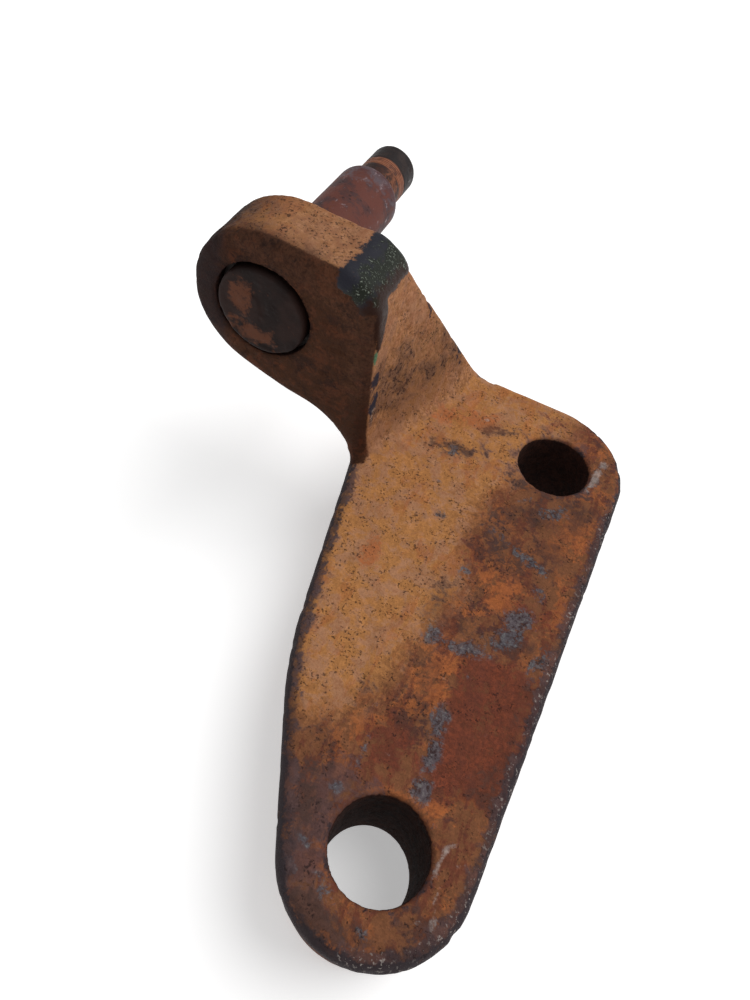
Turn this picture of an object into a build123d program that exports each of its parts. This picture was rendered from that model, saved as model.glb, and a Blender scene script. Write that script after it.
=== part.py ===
from build123d import *

import os
from math import acos, asin, atan2, cos, hypot, radians, sin, sqrt, tan

# Offset arm with a swivel pin: a cast plate with two bores, a neck that rises from one corner
# of it, and a lug at the top of the neck that overhangs the plate and carries a headed pin.
#
# Millimetres. The origin is the centre of the lower bore on the plate's back face.
# +Z is the plate's normal, +Y runs along the pin towards its tail, and +X points to the
# plate's straight side. The arm lies on its back face at z = 0.

# ---- plate ---------------------------------------------------------------------------------
PLATE_THICKNESS = 36.0
LOWER_BORE_R = 13.0
UPPER_BORE_R = 13.0
UPPER_BORE_X = 4.0
UPPER_BORE_Y = 144.0
LOWER_ROUND_R = 26.5  # round end about the lower bore
CORNER_ROUND_R = 30.5  # round corner beside the upper bore
CORNER_OFFSET_X = -4.0  # centre of that corner, from the upper bore's axis
ELBOW_X, ELBOW_Y = -46.5, 35.5  # where the slanted side changes its slope
ELBOW_ROUND_R = 120.0
DRAFT = 5.0  # degrees, the sides lean in towards the back face
ROOT_X = -62.2  # side wall below the lug, parallel to the pin
SHOULDER_X, SHOULDER_Y = -36.3, 175.5  # left end of the top edge
EDGE_ROUND_R = 4.0  # worn outer edge of the front face
BACK_ROUND_R = 2.5  # outer edge of the back face
BORE_EDGE_R = 1.0  # worn mouth of each bore on the front face

# ---- lug and neck --------------------------------------------------------------------------
PIN_X = -96.7
PIN_RISE = 47.7  # pin axis above the plate's front face
LUG_NEAR_Y = 109.2
LUG_WIDTH = 25.4
BOSS_WALL = 9.4  # around the counterbore
BOSS_OFFSET_X = 0.8  # the boss is cast a little off the pin's axis
BOSS_DROP = 0.7
UNDERSIDE_RISE = 16.3  # lug's flat underside above the front face
UNDERSIDE_ROUND_R = 26.0  # hollow round from the underside into the plate's side wall
NECK_TOP_X = -60.5  # corner where the lug's top meets its side
NECK_TOP_RISE = 70.5  # that corner above the front face: the top slopes down to it
NECK_TOP_ROUND_R = 13.0
NECK_TOP_DROP = 5.0  # the neck dies into the lug's rounded corner this far below the top
NECK_WIDTH = 12.0  # at the lug's top
NECK_FOOT_X = -57.0  # foot of the neck's near edge on the front face
NECK_FOOT_ROUND_R = 4.5  # hollow round where the neck's face meets the front face
LUG_EDGE_R = 2.0
LUG_SUNK = 16.0  # how deep the lug's root is let into the plate
NECK_SUNK = 6.0
NECK_INSET = 1.5  # the neck's face starts this far inside the lug's side
NECK_FAR_INSET = 0.1  # its far edge stops this far short of the lug's far face
NECK_LEAN = 0.13  # how far the neck's face leans back at the top edge, per unit of height
HOLLOW_SUNK = 2.0
HOLLOW_FADE = 0.2  # its radius at each end, as a share of NECK_FOOT_ROUND_R
HOLLOW_WIDEST = 0.6  # where it is widest, as a share of the neck's foot

# ---- swivel pin and what it runs in ----------------------------------------------------------
SHANK_R = 12.0
HEAD_OVERHANG = 3.0  # head past the shank
HEAD_PROUD = 1.2  # how far the head stands out of the lug's near face
HEAD_ROUND_R = 1.2
HEAD_GAP = 2.0  # radial, between the head and its counterbore
COUNTERBORE_DEPTH = 7.0
SHANK_PAST_LUG = 48.4  # full-size shank behind the lug
SPIGOT_R = 9.0
SPIGOT_LENGTH = 22.3
SPIGOT_END_ROUND_R = 1.2

BUSH_WALL = 2.5
RUNNING_CLEARANCE = 0.05  # radial, shank in bush
LOOSE_CLEARANCE = 0.3  # radial, washers on the shank
AXIAL_CLEARANCE = 0.1
THRUST_WASHER_THICKNESS = 2.0
THRUST_WASHER_GAP = 0.5  # radial, inside the counterbore
BACK_WASHER_WIDTH = 6.0  # past the shank
BACK_WASHER_THICKNESS = 2.5
RING_THICKNESS = 1.2
RING_GROOVE_DEPTH = 0.55
RING_SIDE_CLEARANCE = 0.05
RING_WIDTH = 3.0  # radial width of the retaining ring
RING_GAP_ANGLE = 40.0  # degrees left open between the ring's ends
RING_EAR_R = 3.0
RING_EAR_HOLE_R = 1.1

# ---- worked out ------------------------------------------------------------------------------
FRONT_Z = PLATE_THICKNESS
PIN_Z = FRONT_Z + PIN_RISE
LUG_FAR_Y = LUG_NEAR_Y + LUG_WIDTH
NECK_TOP_Z = FRONT_Z + NECK_TOP_RISE
CORNER_X = UPPER_BORE_X + CORNER_OFFSET_X
HEAD_R = SHANK_R + HEAD_OVERHANG
COUNTERBORE_R = HEAD_R + HEAD_GAP
BOSS_R = COUNTERBORE_R + BOSS_WALL
BACK_WASHER_R = SHANK_R + BACK_WASHER_WIDTH
COUNTERBORE_FLOOR_Y = LUG_NEAR_Y + COUNTERBORE_DEPTH
BUSH_R = SHANK_R + RUNNING_CLEARANCE + BUSH_WALL
HEAD_FACE_Y = LUG_NEAR_Y - HEAD_PROUD
HEAD_BACK_Y = COUNTERBORE_FLOOR_Y - THRUST_WASHER_THICKNESS - AXIAL_CLEARANCE
SHANK_END_Y = LUG_FAR_Y + SHANK_PAST_LUG
SPIGOT_START_Y = SHANK_END_Y + SHANK_R - SPIGOT_R
PIN_END_Y = SPIGOT_START_Y + SPIGOT_LENGTH
BACK_WASHER_Y = LUG_FAR_Y + AXIAL_CLEARANCE
RING_Y = BACK_WASHER_Y + BACK_WASHER_THICKNESS + AXIAL_CLEARANCE
RING_GROOVE_R = SHANK_R - RING_GROOVE_DEPTH


def on_pin_axis(shape):
    """A shape made about +Z from z = 0 is turned to run along +Y, on the pin's axis."""
    return Pos(PIN_X, 0, PIN_Z) * Rot(-90, 0, 0) * shape


def disc(radius, start_y, end_y):
    """A round bar on the pin's axis, from start_y to end_y."""
    bar = Cylinder(radius, end_y - start_y, align=(Align.CENTER, Align.CENTER, Align.MIN))
    return on_pin_axis(Pos(0, 0, start_y) * bar)


def tangent_from_point(point, centre, radius, side):
    """Where a line from point touches a circle, on its left (side 1) or right (side -1)."""
    dx, dy = point[0] - centre[0], point[1] - centre[1]
    angle = atan2(dy, dx) + side * acos(radius / hypot(dx, dy))
    return centre[0] + radius * cos(angle), centre[1] + radius * sin(angle)


def plate_outline():
    """The plate seen from the front: two round ends, a straight side, and a slanted side."""
    lower, corner = (0.0, 0.0), (CORNER_X, UPPER_BORE_Y)
    elbow, shoulder = (ELBOW_X, ELBOW_Y), (SHOULDER_X, SHOULDER_Y)
    left_touch = tangent_from_point(elbow, lower, LOWER_ROUND_R, 1)
    top_touch = tangent_from_point(shoulder, corner, CORNER_ROUND_R, -1)
    # Outer tangent of the two rounds on the straight side: its normal makes the same angle
    # with the line of centres at both ends.
    run = hypot(corner[0] - lower[0], corner[1] - lower[1])
    tilt = atan2(corner[1] - lower[1], corner[0] - lower[0])
    normal = tilt - acos((LOWER_ROUND_R - CORNER_ROUND_R) / run)
    side_low = (LOWER_ROUND_R * cos(normal), LOWER_ROUND_R * sin(normal))
    side_high = (corner[0] + CORNER_ROUND_R * cos(normal), corner[1] + CORNER_ROUND_R * sin(normal))
    lower_mid = (0.0, -LOWER_ROUND_R)
    half = (normal + atan2(top_touch[1] - corner[1], top_touch[0] - corner[0])) / 2
    corner_mid = (corner[0] + CORNER_ROUND_R * cos(half), corner[1] + CORNER_ROUND_R * sin(half))
    edges = [
        ThreePointArc(left_touch, lower_mid, side_low),
        Line(side_low, side_high),
        ThreePointArc(side_high, corner_mid, top_touch),
        Line(top_touch, shoulder),
        Line(shoulder, (ROOT_X, LUG_FAR_Y)),
        Line((ROOT_X, LUG_FAR_Y), (ROOT_X, LUG_NEAR_Y)),
        Line((ROOT_X, LUG_NEAR_Y), elbow),
        Line(elbow, left_touch),
    ]
    outline = make_face(Curve() + edges)
    sharp = outline.vertices().sort_by_distance(Vector(ELBOW_X, ELBOW_Y, 0))[0]
    return fillet(sharp, ELBOW_ROUND_R)


def rounded_bar_edges(shape, plane_y):
    """The edges of a shape that lie wholly in the plane y = plane_y."""
    flat = []
    for edge in shape.edges():
        if all(abs((edge @ t).Y - plane_y) < 1e-4 for t in (0, 0.25, 0.5, 1)):
            flat.append(edge)
    return flat


def lug():
    """The overhanging lug: one side view, as wide as LUG_WIDTH along the pin."""
    underside_z = FRONT_Z + UNDERSIDE_RISE
    wall_x = ROOT_X + (UNDERSIDE_ROUND_R - UNDERSIDE_RISE) * tan(radians(DRAFT))
    hollow_start = (wall_x - UNDERSIDE_ROUND_R, underside_z)
    hollow_end = (wall_x, underside_z - UNDERSIDE_ROUND_R)
    part_way = UNDERSIDE_ROUND_R * (1 - sqrt(0.5))
    hollow_mid = (wall_x - part_way, underside_z - part_way)
    foot_z, root_z = FRONT_Z - NECK_SUNK, FRONT_Z - LUG_SUNK
    top_corner = (NECK_TOP_X, NECK_TOP_Z)
    boss_x, boss_z = PIN_X + BOSS_OFFSET_X, PIN_Z - BOSS_DROP
    low_touch = tangent_from_point(hollow_start, (boss_x, boss_z), BOSS_R, -1)
    top_touch = tangent_from_point(top_corner, (boss_x, boss_z), BOSS_R, 1)
    side_view = make_face(
        Curve()
        + [
            ThreePointArc(low_touch, (boss_x - BOSS_R, boss_z), top_touch),
            Line(top_touch, top_corner),
            Line(top_corner, (NECK_FOOT_X, foot_z)),
            Line((NECK_FOOT_X, foot_z), (SHOULDER_X, foot_z)),
            Line((SHOULDER_X, foot_z), (SHOULDER_X, root_z)),
            Line((SHOULDER_X, root_z), (wall_x + LUG_EDGE_R, root_z)),
            Line((wall_x + LUG_EDGE_R, root_z), hollow_end),
            ThreePointArc(hollow_end, hollow_mid, hollow_start),
            Line(hollow_start, low_touch),
        ]
    )
    corner = side_view.vertices().sort_by_distance(Vector(NECK_TOP_X, NECK_TOP_Z, 0))[0]
    side_view = fillet(corner, NECK_TOP_ROUND_R)
    bar = extrude(Plane.XZ.offset(-LUG_NEAR_Y) * side_view, -LUG_WIDTH)
    bar = fillet(rounded_bar_edges(bar, LUG_NEAR_Y), LUG_EDGE_R)
    return fillet(rounded_bar_edges(bar, LUG_FAR_Y), LUG_EDGE_R)


def neck():
    """A wedge behind the lug: full height at the lug, running out at the plate's top edge."""
    near_y = LUG_NEAR_Y + LUG_EDGE_R
    far_y = LUG_FAR_Y - NECK_FAR_INSET
    top_z = NECK_TOP_Z - NECK_TOP_DROP
    above_centre = NECK_TOP_ROUND_R - NECK_TOP_DROP
    top_x = NECK_TOP_X - NECK_TOP_ROUND_R + sqrt(NECK_TOP_ROUND_R**2 - above_centre**2)
    # The far edge meets the shoulder at the front face, so below that face it runs on past it.
    run_on = NECK_SUNK / (top_z - FRONT_Z)
    low = [
        (NECK_FOOT_X - NECK_INSET, near_y),
        (SHOULDER_X + (SHOULDER_X - top_x) * run_on, SHOULDER_Y + (SHOULDER_Y - far_y) * run_on),
        (ROOT_X + NECK_INSET, LUG_FAR_Y),
        (ROOT_X + NECK_INSET, near_y),
    ]
    high = [
        (top_x - NECK_INSET, near_y),
        (top_x, far_y),
        (top_x - NECK_WIDTH, far_y),
        (top_x - NECK_WIDTH, near_y),
    ]
    base = Pos(0, 0, FRONT_Z - NECK_SUNK) * make_face(Polyline(low, close=True))
    top = Pos(0, 0, top_z) * make_face(Polyline(high, close=True))
    return loft([base, top], ruled=True)


def foot_hollow():
    """Hollow round between the neck's face and the front face, which fades out at both ends."""
    start = Vector(NECK_FOOT_X, LUG_NEAR_Y + LUG_EDGE_R, FRONT_Z)
    end = Vector(SHOULDER_X, SHOULDER_Y, FRONT_Z)
    along = (end - start).normalized()
    across = along.cross(Vector(0, 0, 1))
    sections = []
    for place, radius, lean in (
        (start, NECK_FOOT_ROUND_R * HOLLOW_FADE, 0.0),
        (start + (end - start) * HOLLOW_WIDEST, NECK_FOOT_ROUND_R, NECK_LEAN / 2),
        (end, NECK_FOOT_ROUND_R * HOLLOW_FADE, NECK_LEAN),
    ):
        top = (-radius * lean, radius)
        middle = (radius * (1 - sqrt(0.5)) - radius * lean / 2, radius * (1 - sqrt(0.5)))
        wedge = make_face(
            Curve()
            + [
                Line((-HOLLOW_SUNK, -HOLLOW_SUNK), (radius, 0)),
                ThreePointArc((radius, 0), middle, top),
                Line(top, (-HOLLOW_SUNK, -HOLLOW_SUNK)),
            ]
        )
        plane = Plane(origin=place, x_dir=across, z_dir=across.cross(Vector(0, 0, 1)))
        sections.append(plane * wedge)
    return loft(sections, ruled=True)


def arm():
    """Plate, neck and lug as one casting, with its bores."""
    outline = plate_outline()
    plate = extrude(Pos(0, 0, FRONT_Z) * outline, -PLATE_THICKNESS, taper=DRAFT)
    plate = fillet(plate.edges().group_by(Axis.Z)[-1], EDGE_ROUND_R)
    plate = fillet(plate.edges().group_by(Axis.Z)[0], BACK_ROUND_R)
    over_plate = extrude(outline, NECK_TOP_Z)
    casting = plate + lug() + (neck() & over_plate) + (foot_hollow() & over_plate)
    casting -= plate_bore(0, 0, LOWER_BORE_R)
    casting -= plate_bore(UPPER_BORE_X, UPPER_BORE_Y, UPPER_BORE_R)
    casting -= disc(COUNTERBORE_R, LUG_NEAR_Y - HEAD_PROUD, COUNTERBORE_FLOOR_Y)
    return casting - disc(BUSH_R, COUNTERBORE_FLOOR_Y - BUSH_WALL, LUG_FAR_Y + BUSH_WALL)


def plate_bore(x, y, radius):
    """A hole through the plate, with a worn, rounded mouth on the front face."""
    drill = Cylinder(radius, PLATE_THICKNESS, align=(Align.CENTER, Align.CENTER, Align.MIN))
    throat = BORE_EDGE_R
    mouth_profile = make_face(
        Curve()
        + [
            Line((0, -throat), (radius, -throat)),
            ThreePointArc(
                (radius, -throat),
                (radius + throat * (1 - sqrt(0.5)), -throat * (1 - sqrt(0.5))),
                (radius + throat, 0),
            ),
            Line((radius + throat, 0), (0, 0)),
            Line((0, 0), (0, -throat)),
        ]
    )
    mouth = revolve(Plane.XZ * mouth_profile, Axis.Z)
    return Pos(x, y, 0) * (drill + Pos(0, 0, FRONT_Z) * mouth)


def ring_of(outer, inner, start_y, end_y):
    """A plain ring on the pin's axis, such as a washer or a bush."""
    return disc(outer, start_y, end_y) - disc(inner, start_y, end_y)


def lug_bush():
    """Plain bush pressed into the lug, behind the counterbore."""
    return ring_of(BUSH_R, SHANK_R + RUNNING_CLEARANCE, COUNTERBORE_FLOOR_Y, LUG_FAR_Y)


def thrust_washer():
    """Washer on the counterbore's floor, which the pin's head turns against."""
    outer = COUNTERBORE_R - THRUST_WASHER_GAP
    start_y = COUNTERBORE_FLOOR_Y - THRUST_WASHER_THICKNESS
    return ring_of(outer, SHANK_R + LOOSE_CLEARANCE, start_y, COUNTERBORE_FLOOR_Y)


def swivel_pin():
    """Headed pin: shank with a ring groove, a rounded shoulder, and a thinner spigot."""
    drop = SHANK_R - SPIGOT_R
    ring_start = RING_Y - RING_SIDE_CLEARANCE
    ring_end = RING_Y + RING_THICKNESS + RING_SIDE_CLEARANCE
    head_and_shank = Polyline(
        (0, HEAD_FACE_Y),
        (HEAD_R, HEAD_FACE_Y),
        (HEAD_R, HEAD_BACK_Y),
        (SHANK_R, HEAD_BACK_Y),
        (SHANK_R, ring_start),
        (RING_GROOVE_R, ring_start),
        (RING_GROOVE_R, ring_end),
        (SHANK_R, ring_end),
        (SHANK_R, SHANK_END_Y),
    )
    shoulder = ThreePointArc(
        (SHANK_R, SHANK_END_Y),
        (SPIGOT_R + drop * sqrt(0.5), SHANK_END_Y + drop * sqrt(0.5)),
        (SPIGOT_R, SPIGOT_START_Y),
    )
    spigot = Polyline(
        (SPIGOT_R, SPIGOT_START_Y),
        (SPIGOT_R, PIN_END_Y),
        (0, PIN_END_Y),
        (0, HEAD_FACE_Y),
    )
    half_section = make_face(Curve() + head_and_shank.edges() + [shoulder] + spigot.edges())
    rim = half_section.vertices().sort_by_distance(Vector(HEAD_R, HEAD_FACE_Y, 0))[0]
    half_section = fillet(rim, HEAD_ROUND_R)
    end_rim = half_section.vertices().sort_by_distance(Vector(SPIGOT_R, PIN_END_Y, 0))[0]
    half_section = fillet(end_rim, SPIGOT_END_ROUND_R)
    return on_pin_axis(revolve(Plane.XZ * half_section, Axis.Z))


def back_washer():
    """Washer between the lug's far face and the retaining ring."""
    end_y = BACK_WASHER_Y + BACK_WASHER_THICKNESS
    return ring_of(BACK_WASHER_R, SHANK_R + LOOSE_CLEARANCE, BACK_WASHER_Y, end_y)


def retaining_ring():
    """Open spring ring in the shank's groove, with a drilled ear at each end."""
    half_gap = radians(RING_GAP_ANGLE / 2)
    reach = 2 * SHANK_R
    ear_place_r = SHANK_R + RING_EAR_R
    ear_angle = half_gap + asin(RING_EAR_R / ear_place_r)
    left_end, right_end = (-reach * tan(half_gap), reach), (reach * tan(half_gap), reach)
    flat = Circle(SHANK_R + RING_WIDTH)
    flat -= make_face(Polyline((0, 0), left_end, right_end, close=True))
    for side in (-1, 1):
        place = Pos(side * ear_place_r * sin(ear_angle), ear_place_r * cos(ear_angle))
        flat = flat + place * Circle(RING_EAR_R) - place * Circle(RING_EAR_HOLE_R)
    flat -= Circle(RING_GROOVE_R)
    return on_pin_axis(Pos(0, 0, RING_Y) * extrude(flat, RING_THICKNESS))


NODES = {
    "arm": arm,
    "lug_bush": lug_bush,
    "thrust_washer": thrust_washer,
    "swivel_pin": swivel_pin,
    "back_washer": back_washer,
    "retaining_ring": retaining_ring,
}

if __name__ == "__main__":
    os.makedirs("parts", exist_ok=True)
    for name, make in NODES.items():
        shape = make()
        shape.label = name
        export_step(shape, f"parts/{name}.step")
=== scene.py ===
"""Looks of an offset cast arm with a swivel pin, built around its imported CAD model.

Laid out as an add-on and run as a script. Lengths in the settings are millimetres; Blender's own
units are metres. The arm lies on its back face at z = 0, with the pin along +Y.
"""

import math

import bmesh
import bpy
import numpy as np
from mathutils import Matrix, Vector


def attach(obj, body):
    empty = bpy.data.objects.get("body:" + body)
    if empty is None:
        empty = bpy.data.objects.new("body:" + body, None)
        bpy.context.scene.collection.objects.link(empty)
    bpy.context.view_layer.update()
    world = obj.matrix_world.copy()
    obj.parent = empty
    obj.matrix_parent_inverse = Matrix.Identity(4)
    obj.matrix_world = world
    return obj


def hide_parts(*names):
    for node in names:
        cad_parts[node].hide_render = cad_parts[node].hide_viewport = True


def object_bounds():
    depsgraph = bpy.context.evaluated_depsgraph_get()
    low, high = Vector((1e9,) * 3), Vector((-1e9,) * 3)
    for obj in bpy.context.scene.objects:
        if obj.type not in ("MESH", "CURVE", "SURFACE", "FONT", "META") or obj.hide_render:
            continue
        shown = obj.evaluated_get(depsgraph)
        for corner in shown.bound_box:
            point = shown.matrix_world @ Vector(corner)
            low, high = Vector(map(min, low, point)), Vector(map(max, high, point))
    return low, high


bl_info = {
    "name": "Rusty arm with swivel pin",
    "version": (1, 0, 0),
    "blender": (4, 5, 0),
    "location": "View3D > Sidebar > Arm",
    "description": "Builds a rusty cast arm, its swivel pin, and a plain stage",
    "category": "Object",
}

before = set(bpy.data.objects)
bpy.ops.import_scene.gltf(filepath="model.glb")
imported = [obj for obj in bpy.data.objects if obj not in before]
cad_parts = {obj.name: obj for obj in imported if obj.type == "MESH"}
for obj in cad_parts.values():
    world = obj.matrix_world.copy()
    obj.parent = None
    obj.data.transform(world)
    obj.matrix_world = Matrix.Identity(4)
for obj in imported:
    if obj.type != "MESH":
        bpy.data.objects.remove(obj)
CAD_BOX = [list(corner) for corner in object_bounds()]
MM = 0.001

# Places in the model's frame, in millimetres.
FRONT_Z = 36.0
LOWER_BORE = (0.0, 0.0)
UPPER_BORE = (4.0, 144.0)
BORE_R = 13.0
PIN_X, PIN_Z = -96.7, 83.7
LUG_NEAR_Y = 109.2
LUG_FAR_Y = 134.6
COUNTERBORE_FLOOR_Y = 116.2
COUNTERBORE_R = 17.0
BUSH_R = 14.55
LUG_CORNER_X, LUG_CORNER_Z = -73.5, 93.5
NECK_TOP = (-63.25, 134.5, 101.5)
NECK_END = (-37.0, 174.4, 36.5)

# The pin from its head to its tail along Y, its turned rings, and its radii, in millimetres.
HEAD_FACE_Y, HEAD_BACK_Y = 108.0, 114.2
SHOULDER_Y, TAIL_Y = 186.0, 208.3
RINGS_START_Y, RING_Y, RINGS_END_Y = 193.2, 193.7, 198.1
RING_PITCH = 0.95
HEAD_R, SHANK_R, SPIGOT_R = 15.0, 12.0, 9.0

# The pin's outline from the head's middle to the tail's: y, radius, corner rounding.
PIN_OUTLINE = (
    (HEAD_FACE_Y, 0.25, 0), (HEAD_FACE_Y, HEAD_R, 1.3), (HEAD_BACK_Y, HEAD_R, 0.3),
    (HEAD_BACK_Y, SHANK_R, 0.25), (137.25, SHANK_R, 0.1), (137.25, 11.45, 0.05),
    (138.55, 11.45, 0.05), (138.55, SHANK_R, 0.1), (184.1, SHANK_R, 1.3), (SHOULDER_Y, 9.9, 0.8),
    (187.0, SPIGOT_R, 0.6), (TAIL_Y, SPIGOT_R, 1.2), (TAIL_Y, 0.25, 0),
)

# Round walls of the casting that stay true: the two axes across, the centre, the radius, the
# axis along, its two ends, and how far off the wall a vertex may be. The recess is 0.7 mm
# narrower at its lip.
RECESS_LIP_Y = LUG_NEAR_Y + 3.6
ROUND_WALLS = (
    ((0, 1), LOWER_BORE, BORE_R, 2, 1.0, 34.6),
    ((0, 1), UPPER_BORE, BORE_R, 2, 1.0, 34.6),
    ((0, 2), (PIN_X, PIN_Z), COUNTERBORE_R - 0.7, 1, LUG_NEAR_Y - 0.3, RECESS_LIP_Y, 1.7),
    ((0, 2), (PIN_X, PIN_Z), COUNTERBORE_R, 1, RECESS_LIP_Y, COUNTERBORE_FLOOR_Y - 0.9),
    ((0, 2), (PIN_X, PIN_Z), BUSH_R, 1, COUNTERBORE_FLOOR_Y + 0.9, LUG_FAR_Y - 0.9),
)

# How deep the casting's dents, pits and worn edges are, in millimetres.
DENT_DEPTH, PIT_DEPTH, WEAR_DEPTH = 0.55, 0.35, 0.22

# Marks on the plate's front: x, y, half width, half height, turn in degrees, strength.
RED_PATCHES = (
    (-8, 24, 8, 9, 0, 0.9), (15, 82, 7, 12, -20, 0.7), (-8, 96, 7, 10, 0, 0.55),
    (2, 166, 14, 4, 0, 0.5),
)
PURPLE_PATCHES = (
    (-19, 0, 8, 14, 0, 0.95), (-12, -18, 13, 7, -25, 0.9), (3, 142, 19, 19, 0, 0.6),
    (-12, 10, 10, 5, 0, 0.6), (-4, 104, 6, 9, 30, 0.55), (-24, 136, 9, 3, 25, 0.5),
)
ORANGE_PATCHES = (
    (-5, -22, 8, 1.8, -20, 0.95), (7, -21, 4, 1.8, 0, 0.8), (-5, 48, 7, 7, 0, 0.7),
    (4, 84, 9, 9, 0, 0.7), (16, 112, 9, 12, 0, 0.6), (9, 15, 3, 3, 0, 0.7),
    (-33, 148, 18, 6, 20, 0.6), (-38, 78, 4, 7, 0, 0.6),
)
SLATE_PATCHES = (
    (-11, 62, 3.2, 4.5, 20, 0.75), (0, 61, 6.5, 2.6, 10, 0.85), (8, 68, 6.0, 3.4, 35, 0.95),
    (12, 77, 5.0, 4.6, 40, 0.9), (15, 90, 2.6, 8.0, 12, 0.75), (8, 100, 7.0, 2.2, -20, 0.7),
    (-4, 105, 4.0, 1.8, -15, 0.6), (1, 37, 2.6, 4.6, 0, 0.95), (3, 28, 2.5, 5.5, 0, 1.0),
    (4, 18, 3.2, 3.6, 0, 0.9), (8, 9, 2.4, 3.0, 0, 0.65), (-14, 19, 1.3, 5.5, 8, 0.75),
    (-17, 8, 2.6, 1.9, 0, 0.8), (-17, -6, 3.6, 1.6, 0, 0.6), (-19, -15, 3.0, 4.6, 35, 0.85),
    (-8, -14, 4.5, 2.0, -30, 0.65), (4, -18, 2.0, 1.7, 0, 0.7), (-17, 33, 1.9, 1.0, 0, 0.7),
    (10, 123, 5.0, 3.2, 30, 0.85), (-1, 123, 4.0, 1.1, 48, 0.9), (-29, 116, 2.2, 1.3, 0, 0.6),
    (-31, 131, 2.6, 3.2, 0, 0.55), (-24, 103, 2.6, 1.6, 0, 0.55), (-9, 86, 3.0, 3.0, 0, 0.6),
    (14, 40, 1.6, 1.6, 0, 0.5), (4, 53, 1.2, 1.6, 0, 0.6), (22, 66, 3.0, 6.0, -10, 0.75),
)
CHALK_MARKS = (
    (19.4, 147, 1.7, 7.0, -10, 1.3), (21, 154, 2.6, 1.6, -20, 0.8), (14.6, 4, 0.9, 4.6, -6, 1.2),
    (17, -5, 0.8, 6.0, 14, 1.1), (16.5, 9, 0.9, 2.6, -40, 0.8), (14, -11, 1.6, 0.7, 30, 0.7),
    (-25, 152, 0.9, 0.6, 0, 0.9), (-2, 49, 1.3, 1.0, -30, 0.8), (-11, 69, 1.3, 0.9, 0, 0.7),
    (-8, 22, 1.0, 0.9, 0, 0.6), (-6, 168, 3.0, 0.8, 25, 0.5), (19, 5, 2.0, 0.6, 30, 0.6),
)
STAIN_PATCHES = (
    (-2, 100, 12, 10, 0, 0.6), (2, 118, 12, 7, 20, 0.75), (-13, 72, 5, 10, -10, 0.6),
    (-20, 38, 5, 10, 0, 0.45), (-27, 16, 6, 9, 0, 0.6), (-30, 133, 11, 4, 15, 0.7),
    (14, 106, 7, 13, 0, 0.5), (12, 68, 9, 6, 30, 0.6), (-4, 34, 7, 6, 0, 0.5),
    (-22, 0, 4, 12, 0, 0.6), (-12, -19, 10, 5, -25, 0.75), (14, -12, 7, 9, 30, 0.65),
    (3, -20, 14, 4, 0, 0.6), (18, 24, 5, 10, 0, 0.45), (-16, 150, 12, 4, 25, 0.5),
    (4, 130, 16, 5, 0, 0.6), (-52, 152, 4, 12, 0, 0.35), (20, 128, 5, 8, 0, 0.5),
    (-6, 48, 4, 6, 0, 0.4), (-30, 98, 3, 4, 0, 0.35), (24, 40, 4, 30, 3, 0.6),
)
# Where the ochre dust ends to the right, along the plate.
OCHRE_BORDER_Y = (-30, 0, 20, 40, 60, 80, 100, 120, 140, 175)
OCHRE_BORDER_X = (-34, -31, -22, -14, -12, -6, -14, -10, 2, 8)
# Dark blots on the neck: x, y, z, size along x, y and z, strength.
NECK_BLOTS = (
    (-57.5, 114.5, 69, 4, 2.6, 3, 1.0), (-57, 115, 60, 4, 3.0, 4.5, 1.0),
    (-43.5, 162, 54, 3, 2.2, 6, 1.0), (-55, 146.5, 81, 3, 1.3, 9, 0.8),
    (-53, 131, 79, 3, 3, 1.5, 0.55), (-48, 141, 58, 3, 3, 4, 0.5),
)

# The stage, in metres but for the camera's place and its film, which are in millimetres.
FLOOR_HALF = 6.0
LIGHT_FROM = (0.42, 0.38, 0.82)
CAMERA_PLACE = (-8.28, -44.54, 230.8)
CAMERA_RIGHT = (0.90047, 0.41606, 0.12668)
CAMERA_DOWN = (0.40613, -0.70020, -0.58717)
CAMERA_FORWARD = (-0.15560, 0.58018, -0.79949)
FILM_HEIGHT = 36


def linear(red, green, blue):
    """A colour given as 0 to 255 display values, as linear light."""
    out = []
    for value in (red, green, blue):
        v = value / 255
        out.append(v / 12.92 if v <= 0.04045 else ((v + 0.055) / 1.055) ** 2.4)
    return tuple(out)


# Shades of single marks on the casting.
BRIGHT_RED_RUST = linear(128, 66, 44)
# LUG_BROWN and the darker colour after it paint the lug's dark far end and, as painted shade, the
# near edge of its top.
LUG_BROWN = linear(84, 50, 38)
LUG_DARK_AND_SHADE = linear(50, 36, 34)
BARE_GREY = linear(112, 116, 114)
PIT_BLACK = linear(38, 28, 28)
BLUE_BLOT = linear(34, 36, 50)
GREEN_PAINT = linear(70, 116, 88)
# The next four colours are painted shade, partly dark oily rust, for the lug's near face, underside
# and outer end; the last of them lightens that shade towards the top of the near face.
SHADE_AND_OIL_RUST = linear(80, 43, 26)
SHADE_AND_OIL_BLACK = linear(30, 20, 19)
SHADE_AND_OIL_END = linear(36, 28, 30)
NEAR_FACE_TOP_BROWN = linear(92, 62, 46)
# Painted shade inside the bores and the pin's recess.
BORE_SHADE_BROWN = linear(66, 38, 30)
BORE_SHADE_DARK = linear(38, 22, 19)
TAR_BLUE = linear(40, 40, 48)
TAR_BROWN = linear(42, 20, 11)
TAR_GREEN = linear(34, 38, 27)
# Painted highlight: the pale glints on the tar.
TAR_PAINTED_GLINT = linear(158, 166, 152)

# Shades of single marks on the pin.
SHANK_DARK = linear(66, 50, 52)
SHANK_RUST = linear(100, 58, 40)
SHANK_BLUE = linear(56, 52, 62)
SHOULDER_GREY = linear(104, 92, 98)
SHANK_SPOT = linear(44, 30, 32)
SPIGOT_BROWN = linear(70, 42, 34)
SPIGOT_DARK = linear(46, 34, 33)
RING_BRIGHT = linear(156, 104, 76)
RING_GRIME = linear(66, 44, 38)
RING_GROOVE = linear(58, 40, 42)
END_BROWN = linear(56, 45, 42)
RIM_BROWN = linear(74, 62, 58)
HEAD_DARK = linear(26, 15, 13)

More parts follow.
